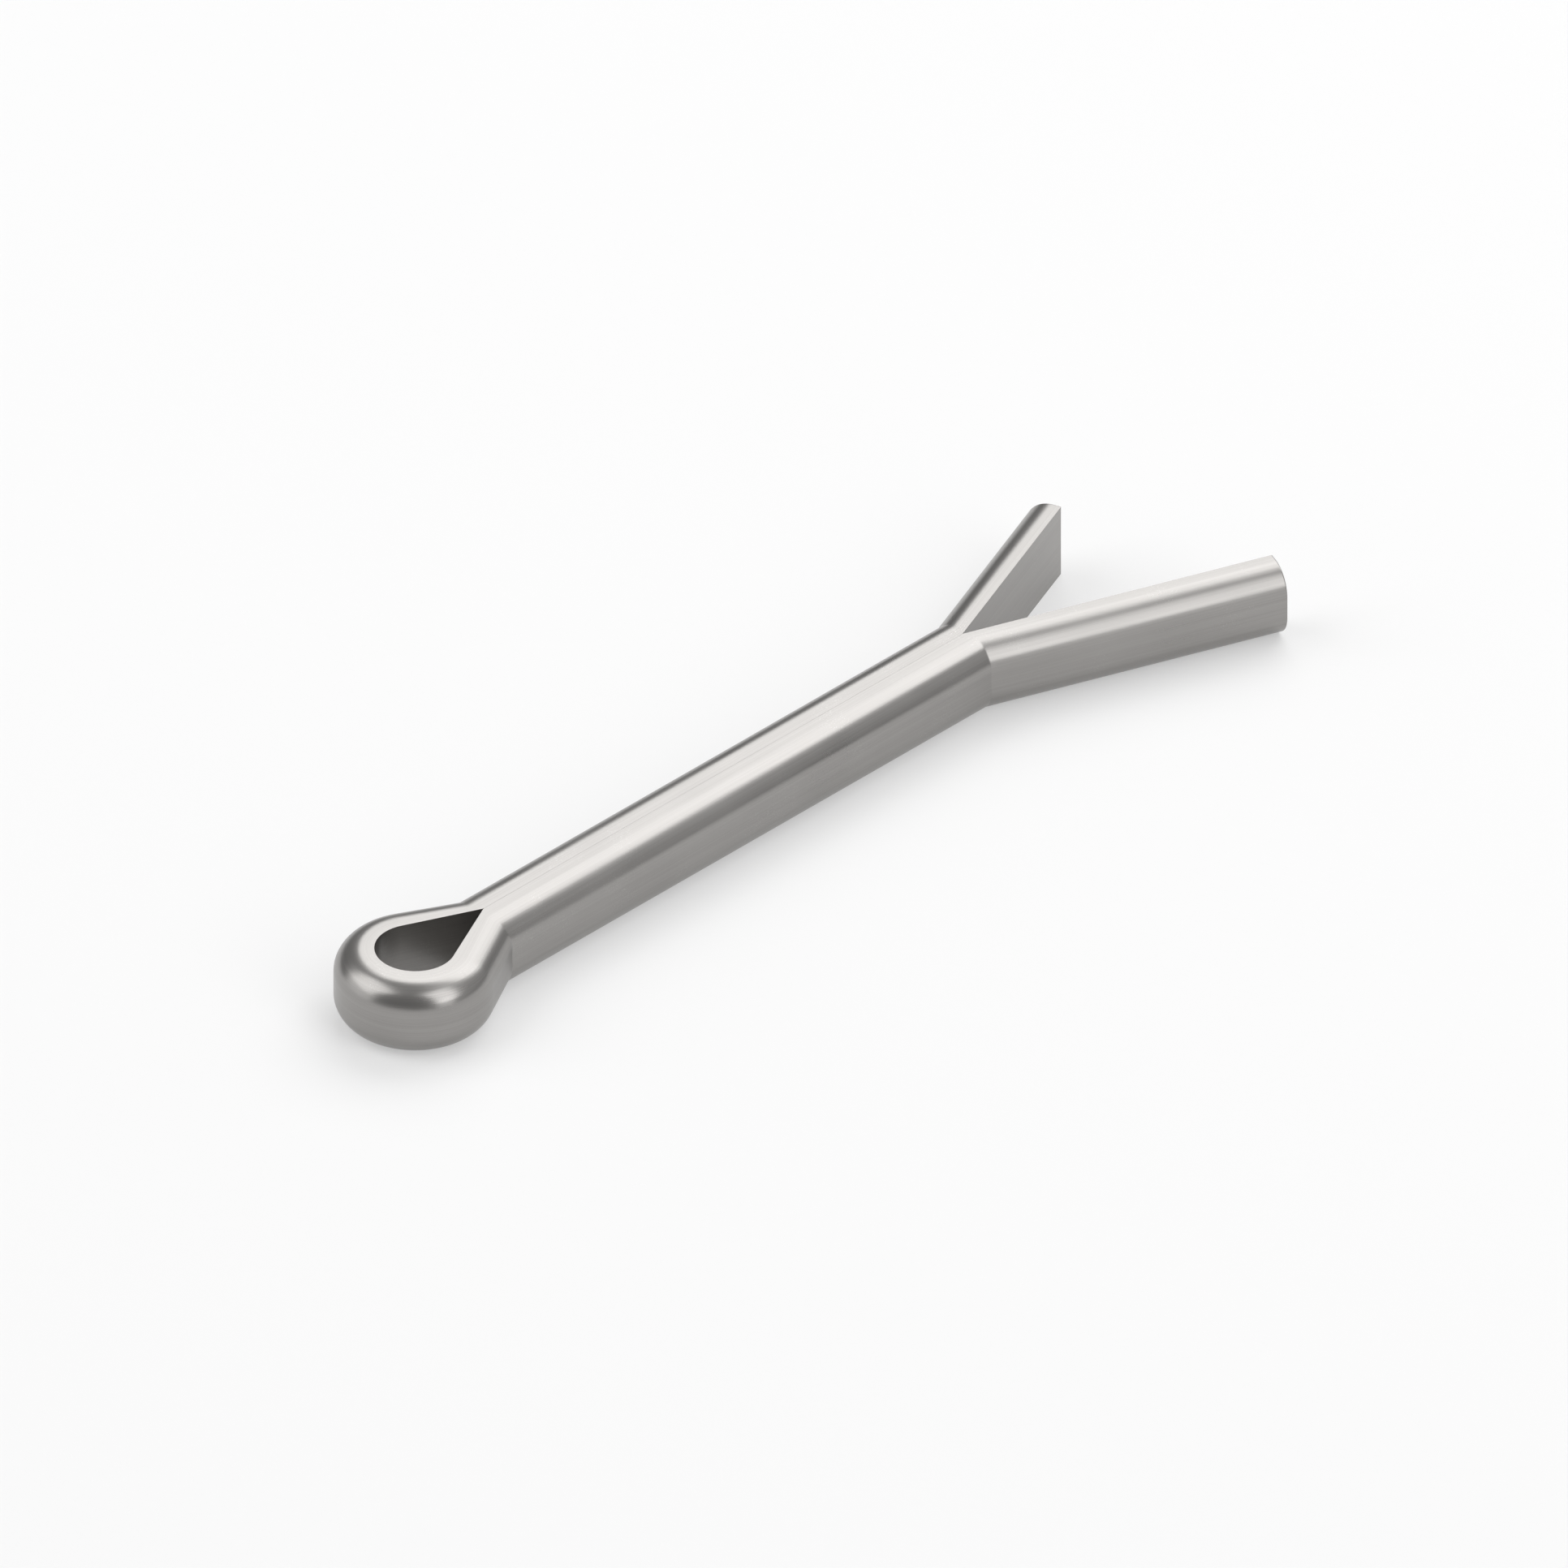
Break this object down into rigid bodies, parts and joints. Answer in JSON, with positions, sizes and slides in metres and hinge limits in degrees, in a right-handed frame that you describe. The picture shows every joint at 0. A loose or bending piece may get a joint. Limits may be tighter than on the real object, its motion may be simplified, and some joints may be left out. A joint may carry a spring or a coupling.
{
  "type": "split pin",
  "caption": "Split pin folded from D-section steel wire, with a teardrop eye, a closed shank and spread legs of unequal length; locks a clevis pin or a castle nut.",
  "frame": {"origin": "on the shank's axis at the eye's root, where the legs come together, at half the wire's height", "axes": "+X along the shank from the eye to the spread ends, +Z along the axis of the eye, up as the pin lies flat, the longer leg on the -Y side"},
  "size_m": [0.0509, 0.0121, 0.0036],
  "materials": {
    "steel": "plain drawn steel wire, satin"
  },
  "bodies": {
    "root": {"split_pin": "steel"}
  },
  "joints": []
}
